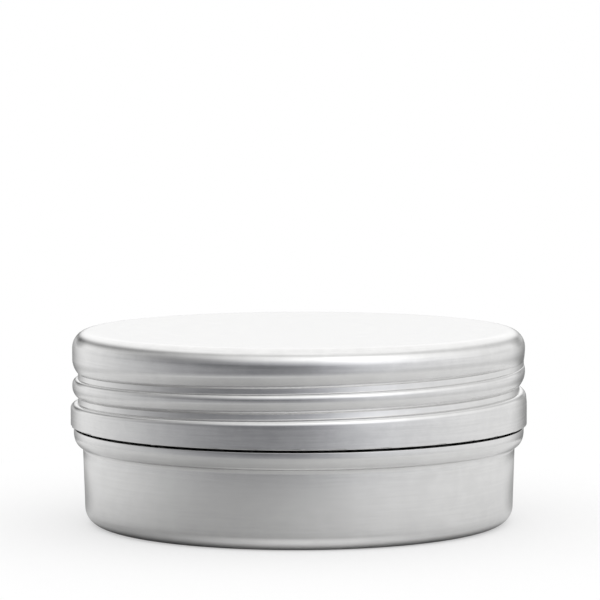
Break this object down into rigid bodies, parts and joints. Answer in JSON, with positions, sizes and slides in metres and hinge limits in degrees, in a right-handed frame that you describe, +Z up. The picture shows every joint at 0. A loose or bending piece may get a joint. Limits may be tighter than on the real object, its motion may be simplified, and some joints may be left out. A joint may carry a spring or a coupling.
{
  "type": "screw top tin",
  "caption": "Low round tin with a screw lid: thin sheet walls, a rolled thread in the lid's side, a rolled rim, a stop bead and a soft sealing disc inside the lid.",
  "frame": {"origin": "centre of the flat underside, on the tin's axis", "axes": "+Z up along the tin's axis, -Y towards the side that the picture shows"},
  "size_m": [0.068, 0.068, 0.0287],
  "materials": {
    "sheet": "satin, finely brushed around the tin",
    "liner_foam": "matt white foam"
  },
  "bodies": {
    "cup_body": {"cup": "sheet"},
    "lid_carrier": {"liner": "liner_foam"},
    "lid_shell": {"lid": "sheet"}
  },
  "joints": [
    {"name": "lid_rise", "type": "slide", "parent": "cup_body", "child": "lid_carrier", "axis": [0, 0, 1], "range_m": [0, 0.018]},
    {"name": "lid_turn", "type": "hinge", "parent": "lid_carrier", "child": "lid_shell", "pos_m": [0, 0, 0.0287], "axis": [0, 0, 1], "range_deg": [0, 1800]}
  ],
  "couplings": [
    {"joint": "lid_rise", "follows": "lid_turn", "m_per_rad": 0.00057296}
  ]
}
